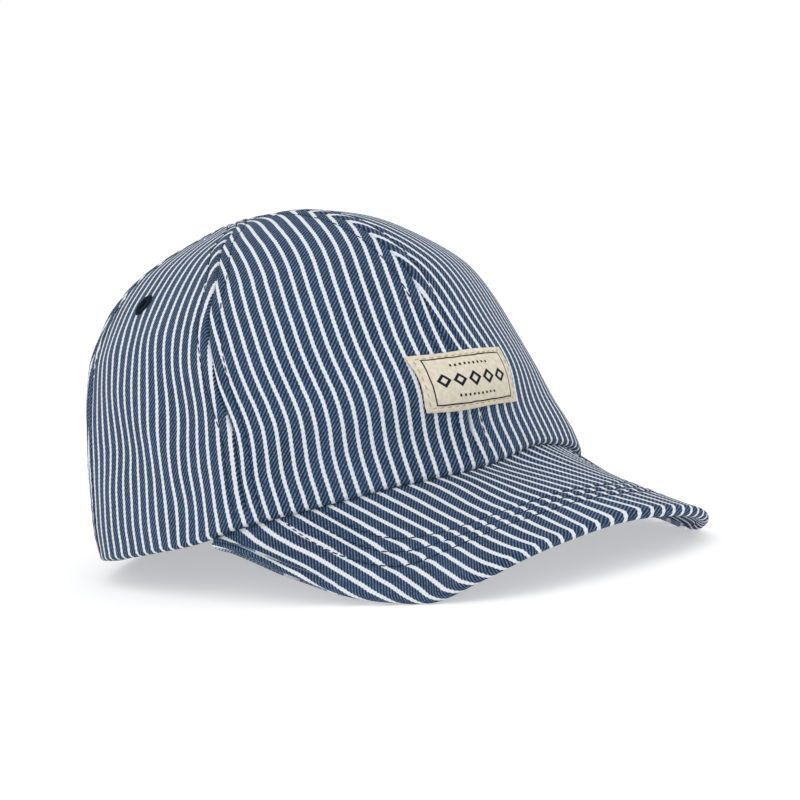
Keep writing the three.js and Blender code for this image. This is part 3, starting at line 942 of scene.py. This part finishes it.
def peak_row_line(row):
    """The run of a stitch row as across and out values, where it crosses each line of the peak."""
    front = MIDDLE_FRONT[1] - PEAK_LENGTH + row["behind"]
    across = np.linspace(-0.84, 0.84, 421)
    out = np.linspace(0, 0.995, 200)
    grid = peak_point(across[:, None], out[None, :])
    power = row["squareness"]
    reach = np.maximum(-PEAK_ROW_BACK - grid[..., 1], 0) / (-PEAK_ROW_BACK - front)
    level = np.abs(grid[..., 0] / row["half_width"]) ** power + reach ** power
    crossing = (level[:, 0] < 1) & (level[:, -1] > 1)
    found = [np.interp(1, line, out) for line in level[crossing]]
    return across[crossing], np.array(found)


PEAK_LINES = [peak_row_line(row) for row in PEAK_ROWS]
PEAK_SPOTS = [peak_point(across, out)[:, :2] for across, out in PEAK_LINES]


def peak_relief(points):
    """The cloth is drawn down along the stitch rows and stands a little proud between them."""
    height = np.zeros(points.shape[:-1])
    for spots in PEAK_SPOTS:
        gap = np.full(points.shape[:-1], 1e9)
        for spot in spots:
            gap = np.minimum(gap, np.hypot(points[..., 0] - spot[0], points[..., 1] - spot[1]))
        height -= ROW_DRAW * np.exp(-(gap / ROW_WIDTH) ** 2)
        height += ROW_SWELL * np.exp(-((gap - SWELL_AT) / SWELL_WIDTH) ** 2)
    return height


def peak_cloth_across(points):
    """Distance over the peak's curve from its middle line, so that its stripes run straight forward."""
    line = peak_point(np.linspace(0, 0.74, 90), np.full(90, 0.8))
    arc = np.concatenate([[0], np.cumsum(np.hypot(np.diff(line[:, 0]), np.diff(line[:, 2])))])
    beyond = np.maximum(np.abs(points[..., 0]) - line[-1, 0], 0)
    return np.sign(points[..., 0]) * (np.interp(np.abs(points[..., 0]), line[:, 0], arc) + beyond)


PEAK_RETURN = 1.2
PEAK_STRIPES = dict(start=1.46, pitch=3.7, under_start=2.3)
EDGE_THINNING = 0.4
UNDER_TUCK = 0.12

# Where the bend of the peak carries its stripes aside, the same on both sides of the middle:
# places and sizes are millimetres
PEAK_SWAYS = table(
    "side forward width length shift",
    (-28, -140, 10, 20, -4.03),
    (-10, -116, 10, 12, -0.50),
    (-22, -68, 10, 12, 1.04),
    (-52, -52, 10, 12, -1.99),
    (-34, -108, 10, 12, -0.82),
    (-10, -84, 10, 12, 2.96),
    (-46, -132, 10, 12, -3.26),
    (-64, -68, 10, 12, 0.68),
    (-10, -148, 10, 12, -2.85),
)


def peak_sway(points):
    sway = 0
    for row in PEAK_SWAYS:
        ahead = (points[..., 1] - row["forward"]) / row["length"]
        here = bell((points[..., 0] - row["side"]) / row["width"], ahead)
        mirrored = bell((points[..., 0] + row["side"]) / row["width"], ahead)
        sway = sway + row["shift"] * (here - mirrored)
    return sway


def peak_edge(across):
    """The middle of the peak's edge, the directions out of it and up from it, and half its thickness."""
    step = 0.002
    outer = peak_outer(across)
    run = unit(peak_outer(np.clip(across + step, -1, 1)) - peak_outer(np.clip(across - step, -1, 1)))
    slope = outer - peak_point(across, np.full_like(across, 0.96))
    out_of = unit(slope - (slope * run).sum(axis=-1, keepdims=True) * run)
    above = np.cross(run, out_of)
    above = above * np.sign(above[:, 2:])
    depth = peak_depth(across, 2, 1)
    half = depth / 2 * (1 - EDGE_THINNING * across ** 4)
    level = unit(out_of * [1, 1, 0])
    centre = outer - level * half[:, None]
    centre[:, 2] += half - depth
    return centre, out_of, above, half[:, None]


def peak_columns(count):
    """Places across the peak, closer together towards its corners."""
    even = np.linspace(-1, 1, count)
    return 0.35 * np.sin(even * math.pi / 2) + 0.65 * even


def peak_upper_sheet():
    """The upper cover: its top, the edge that it turns round, and the short return under it."""
    across = peak_columns(221)
    out = np.linspace(0, 1, 72)[:, None]
    centre, out_of, above, half = peak_edge(across)
    lift = centre + above * half - peak_outer(across)
    top = peak_point(across[None, :], out) + lift * out[..., None] ** 8
    normal = peak_normal(np.clip(across, -0.995, 0.995)[None, :], np.clip(out, 0.005, 0.995))
    fade = ease(out * 12) * ease((1 - out) * 12)
    top = top + normal * ((peak_relief(top) + 0.5 * waves(top)) * fade)[..., None]
    rows = list(top)
    facing = list(normal)
    for turn in np.linspace(0, math.pi, 13)[1:]:
        spoke = out_of * math.sin(turn) + above * math.cos(turn)
        rows.append(centre + spoke * half)
        facing.append(spoke)
    under = rows[-1]
    for inward, rise in ((0.5, 0), (PEAK_RETURN, 0.05), (PEAK_RETURN + 0.25, 0.5)):
        rows.append(under - out_of * inward + above * rise)
        facing.append(-above)
    points = np.array(rows)
    edge = len(top) - 1
    steps = np.linalg.norm(np.diff(points[edge:], axis=0), axis=2)
    around = np.concatenate([np.zeros((1, len(across))), np.cumsum(steps, axis=0)])
    cross = peak_cloth_across(points) - peak_sway(points)
    forward = points[..., 1].copy()
    sideways = np.sign(across) * np.hypot(out_of[:, 0], out_of[:, 2])
    cross[edge:] = cross[edge] + around * sideways
    forward[edge:] = forward[edge] + around * out_of[:, 1]
    cross = (cross - PEAK_STRIPES["start"]) * STRIPE_PITCH / PEAK_STRIPES["pitch"]
    return points, np.array(facing), np.stack([cross, forward], axis=-1)


def peak_lower_sheet():
    """The under cover, turned up at the rim and into the seam behind the front edge."""
    across = peak_columns(161)
    out = np.linspace(0, 1, 44)[:, None]
    centre, out_of, above, half = peak_edge(across)
    drop = np.array([0, 0, 1.0]) * peak_depth(across, 2, 1)[:, None]
    end = centre - out_of * (PEAK_RETURN + COVER_GAP) - above * (half - UNDER_TUCK)
    top = peak_point(across, np.zeros_like(across))
    rows = [top - drop * depth for depth in np.linspace(0.5, 1, 5)[:-1]]
    under = peak_point(across[None, :], out) - drop
    under = under + (end - (peak_outer(across) - drop)) * out[..., None] ** 8
    under[..., 2] -= UNDER_RELIEF * peak_relief(under) * ease(out * 12) * ease((1 - out) * 12)
    rows += list(under)
    rows.append(rows[-1] + above * 0.45)
    points = np.array(rows)
    points[..., 2] = np.maximum(points[..., 2], 0)
    facing = np.broadcast_to([0, 0, -1.0], points.shape)
    cross = peak_cloth_across(points) - PEAK_STRIPES["under_start"]
    cross = cross * STRIPE_PITCH / PEAK_STRIPES["pitch"]
    return points, facing, np.stack([-cross, points[..., 1]], axis=-1)


def build_peak():
    upper = cloth_sheet("peak_upper_cover", *peak_upper_sheet())
    finish_cloth(upper, [DENIM, REVERSE])
    declare(upper, "striped_denim", "peak_upper")
    lower = cloth_sheet("peak_under_cover", *peak_lower_sheet())
    finish_cloth(lower, [DENIM, REVERSE])
    declare(lower, "striped_denim", "peak_lower")


def label_place(right, up):
    """Azimuth and along of a place on the label, from its middle."""
    zero = np.zeros(1)
    at = np.array([LABEL_ALONG])
    step = 0.01
    round_step = crown_point(zero + step, at) - crown_point(zero - step, at)
    up_step = crown_point(zero, at + step) - crown_point(zero, at - step)
    sheared = right + LABEL_SHEAR * up
    turned_right = sheared * math.cos(LABEL_TURN) - up * math.sin(LABEL_TURN)
    turned_up = sheared * math.sin(LABEL_TURN) + up * math.cos(LABEL_TURN)
    azimuth = (LABEL_SHIFT + turned_right) / (np.linalg.norm(round_step) / (2 * step))
    along = LABEL_ALONG + turned_up / (np.linalg.norm(up_step) / (2 * step))
    return azimuth, along


def label_face(right, up):
    """Place and direction of the label's face: flat cloth that its stitches draw down at the edge."""
    azimuth, along = label_place(right, up)
    point = crown_point(azimuth, along)
    normal = outward(crown_point, azimuth, along)
    edge = np.minimum(LABEL_WIDTH / 2 - np.abs(right), LABEL_HEIGHT / 2 - np.abs(up))
    drawn = 0.14 * np.exp(-((edge - LABEL_STITCH_INSET) / 0.5) ** 2)
    ripple = 0.05 * np.sin((right + up) * 2 * math.pi / LABEL_STITCH_PITCH) * np.exp(-(edge / 1.6) ** 2)
    swell = 0.22 * ease(edge / 4) + 0.07 * np.sin(right / 3.1 + 0.7) * np.sin(up / 2.6)
    lift = SEWN_GAP + 0.35 + LABEL_CLOTH - 0.25 * np.exp(-(edge / 0.35) ** 2)
    height = lift + swell - drawn + ripple
    return point + normal * height[..., None], normal


def build_label():
    columns = 107
    rows = 55
    across = np.linspace(-1, 1, columns)
    upward = np.linspace(-1, 1, rows)
    right, up = np.meshgrid(across * LABEL_WIDTH / 2, upward * LABEL_HEIGHT / 2)
    wobble = 0.18 * np.sin(up / 2.3 + 1) * (right / (LABEL_WIDTH / 2)) ** 8
    bow = 0.16 * np.sin(right / 3.9 + 0.5) * (up / (LABEL_HEIGHT / 2)) ** 8
    points, facing = label_face(right + wobble, up + bow)
    piece = cloth_sheet("label_tape", points, facing, np.stack([right, up], axis=-1))
    finish_cloth(piece, [LABEL], LABEL_CLOTH)
    declare(piece, "label_cloth", "label")


def thread_stitch():
    """One stitch of thread along X, fat in the middle, whose ends dip into the cloth."""
    deselect()
    bpy.ops.mesh.primitive_uv_sphere_add(segments=7, ring_count=6, radius=0.5)
    piece = bpy.context.object
    pick(piece)
    turned = [Vector((v.co.z, v.co.y, v.co.x)) for v in piece.data.vertices]
    verts = []
    for co in turned:
        broad = 1 if abs(co.x) > 0.49 else 1.15
        verts.append((co.x, co.y * broad, co.z * 1.1 - 0.22 * (2 * co.x) ** 6))
    faces = [tuple(reversed(p.vertices)) for p in piece.data.polygons]
    mesh = piece.data
    bpy.data.objects.remove(piece)
    bpy.data.meshes.remove(mesh)
    return np.array(verts), faces


STITCH = thread_stitch()


def sew(name, stitches, slot, material):
    """Joins copies of the stitch. Each place gives its start, end and the cloth's direction there."""
    shape, faces = STITCH
    verts = []
    rings = []
    maps = []
    for k, (start, end, normal, width) in enumerate(stitches):
        along = end - start
        length = np.linalg.norm(along)
        along = along / length
        side = unit(np.cross(normal, along))
        up = np.cross(along, side)
        middle = (start + end) / 2
        spot = shape[:, :1] * length * along + shape[:, 1:2] * width * side + shape[:, 2:] * width * up
        verts.append(middle + spot)
        rings.extend(tuple(index + k * len(shape) for index in face) for face in faces)
        maps.append(np.stack([shape[:, 0] * length, shape[:, 1] * width], axis=1))
    mesh = bpy.data.meshes.new(name)
    mesh.from_pydata(((np.concatenate(verts) + SHIFT) * MM).tolist(), [], rings)
    piece = bpy.data.objects.new(name, mesh)
    bpy.context.scene.collection.objects.link(piece)
    lay_map(mesh, np.concatenate(maps))
    mesh.materials.append(material)
    pick(piece)
    bpy.ops.object.mode_set(mode="EDIT")
    bpy.ops.mesh.select_all(action="SELECT")
    bpy.ops.mesh.normals_make_consistent(inside=False)
    bpy.ops.object.mode_set(mode="OBJECT")
    bpy.ops.object.shade_smooth()
    declare(piece, slot)
    return piece


def stitches_on(line, normals, pitch, share, width, lift):
    """Stitches at an even pitch along a line of points on the cloth."""
    arc = np.concatenate([[0], np.cumsum(np.linalg.norm(np.diff(line, axis=0), axis=1))])
    count = max(int(arc[-1] / pitch), 1)
    pitch = arc[-1] / count
    found = []
    for k in range(count):
        ends = []
        for place in (k + (1 - share) / 2, k + (1 + share) / 2):
            ends.append(np.array([np.interp(place * pitch, arc, line[:, axis]) for axis in range(3)]))
        at = (k + 0.5) * pitch
        normal = unit(np.array([np.interp(at, arc, normals[:, axis]) for axis in range(3)]))
        sway = unit(np.cross(normal, ends[1] - ends[0])) * 0.09
        found.append((ends[0] + normal * lift - sway, ends[1] + normal * lift + sway, normal, width))
    return found


def seam_line(seam, sign, offset):
    """A line beside a seam, from just above the fold to where the rows meet near the apex."""
    lengths = np.linspace(FOLD * math.pi / 2 + 1, (1 - 0.062) * GORE_LENGTH, 400)
    along = along_of(lengths)
    middle = seam_azimuth(seam, along) * sign
    step = 0.01
    span = crown_point(middle + step, along) - crown_point(middle - step, along)
    azimuth = middle + offset / (np.linalg.norm(span, axis=1) / (2 * step))
    turn = middle * 3
    return outer_face(azimuth, lengths, np.full_like(azimuth, abs(offset)), turn)


def build_stitching():
    share = STITCH_LENGTH / STITCH_PITCH
    crown = []
    seams = [("front", 1), ("side_front", 1), ("side_front", -1)]
    seams += [("side_back", 1), ("side_back", -1), ("back", 1)]
    for seam, sign in seams:
        for offset in (-TOPSTITCH, TOPSTITCH):
            line, normals = seam_line(seam, sign, offset)
            crown += stitches_on(line, normals, STITCH_PITCH, share, THREAD, 0.1)
    sew("topstitch_crown", crown, "navy_thread", TOPSTITCH_NAVY)
    peak = []
    for across, out in PEAK_LINES:
        line = peak_point(across, out)
        normals = peak_normal(across, np.clip(out, 0.005, 0.995))
        relief = peak_relief(line)
        peak += stitches_on(line + normals * relief[:, None], normals, STITCH_PITCH, share, THREAD, 0.14)
        under = line - np.array([0, 0, 1.0]) * (peak_depth(across, 2, 1) + UNDER_RELIEF * relief)[:, None]
        peak += stitches_on(under, -normals, STITCH_PITCH, share, THREAD, 0.14)
    sew("topstitch_peak", peak, "navy_thread", TOPSTITCH_NAVY)
    wide = LABEL_WIDTH / 2 - LABEL_STITCH_INSET
    high = LABEL_HEIGHT / 2 - LABEL_STITCH_INSET
    corners = [(-wide, -high), (wide, -high), (wide, high), (-wide, high), (-wide, -high)]
    edge = []
    for (x0, y0), (x1, y1) in zip(corners, corners[1:]):
        right = np.linspace(x0, x1, 80)
        up = np.linspace(y0, y1, 80)
        line, normals = label_face(right, up)
        edge += stitches_on(line, normals, LABEL_STITCH_PITCH, LABEL_STITCH_SHARE, LABEL_THREAD, 0.03)
    sew("label_stitches", edge, "label_cloth", CREAM)


# The camera stands at the wearer's right and a little above, turned slightly about its own view
CAMERA_AZIMUTH = math.radians(-34.78)
CAMERA_ELEVATION = math.radians(6.99)
CAMERA_ROLL = math.radians(-8.64)
CAMERA_DISTANCE = 1090
CAMERA_SCALE = 3.174
LOOK_RIGHT = 26.06
LOOK_UP = 43.25
FRAME_PIXELS = 800


def place_camera():
    sin = math.sin(CAMERA_AZIMUTH)
    cos = math.cos(CAMERA_AZIMUTH)
    flat = math.cos(CAMERA_ELEVATION)
    back = Vector((sin * flat, -cos * flat, math.sin(CAMERA_ELEVATION)))
    level = Vector((cos, sin, 0))
    upright = back.cross(level)
    right = level * math.cos(CAMERA_ROLL) + upright * math.sin(CAMERA_ROLL)
    target = level * LOOK_RIGHT + Vector((0, 0, LOOK_UP)) + Vector(SHIFT)
    camera_data = bpy.data.cameras.new("camera")
    camera_data.sensor_width = 36
    camera_data.lens = CAMERA_SCALE * CAMERA_DISTANCE * camera_data.sensor_width / FRAME_PIXELS
    camera_data.clip_end = 50
    camera = bpy.data.objects.new("camera", camera_data)
    bpy.context.scene.collection.objects.link(camera)
    turned = back.cross(right)
    camera.rotation_mode = "QUATERNION"
    camera.rotation_quaternion = Matrix((right, turned, back)).transposed().to_quaternion()
    camera.location = (target + back * CAMERA_DISTANCE) * MM
    bpy.context.scene.camera = camera


def light_studio():
    """A bright even tent, a large soft light above and a white floor."""
    world = bpy.data.worlds.new("studio")
    bpy.context.scene.world = world
    world.use_nodes = True
    world.node_tree.nodes["Background"].inputs["Color"].default_value = (1, 1, 1, 1)
    world.node_tree.nodes["Background"].inputs["Strength"].default_value = 1.0
    for name, place, size, power in (
        ("light_above", Vector((-0.35, -0.35, 1.5)), 1.3, 2.2),
        ("light_front", Vector((-1.0, -1.3, 0.7)), 1.0, 1.0),
    ):
        data = bpy.data.lights.new(name, "AREA")
        data.shape = "DISK"
        data.size = size
        data.energy = power
        light = bpy.data.objects.new(name, data)
        light.location = place
        light.rotation_mode = "QUATERNION"
        light.rotation_quaternion = (place - Vector((0, 0, 0.05))).to_track_quat("Z", "Y")
        bpy.context.scene.collection.objects.link(light)
    deselect()
    bpy.ops.mesh.primitive_plane_add(size=30)
    floor = bpy.context.object
    floor.name = "floor"
    material = bpy.data.materials.new("floor_white")
    material.use_nodes = True
    shader = material.node_tree.nodes["Principled BSDF"]
    shader.inputs["Base Color"].default_value = (0.64, 0.64, 0.64, 1)
    shader.inputs["Emission Color"].default_value = (1, 1, 1, 1)
    shader.inputs["Emission Strength"].default_value = 0.43
    shader.inputs["Roughness"].default_value = 1.0
    shader.inputs["Specular IOR Level"].default_value = 0.0
    floor.data.materials.append(material)
    bpy.context.scene.view_settings.view_transform = "Standard"


place_camera()
light_studio()
build_gores()
build_eyelets()
build_peak()
build_label()
build_stitching()
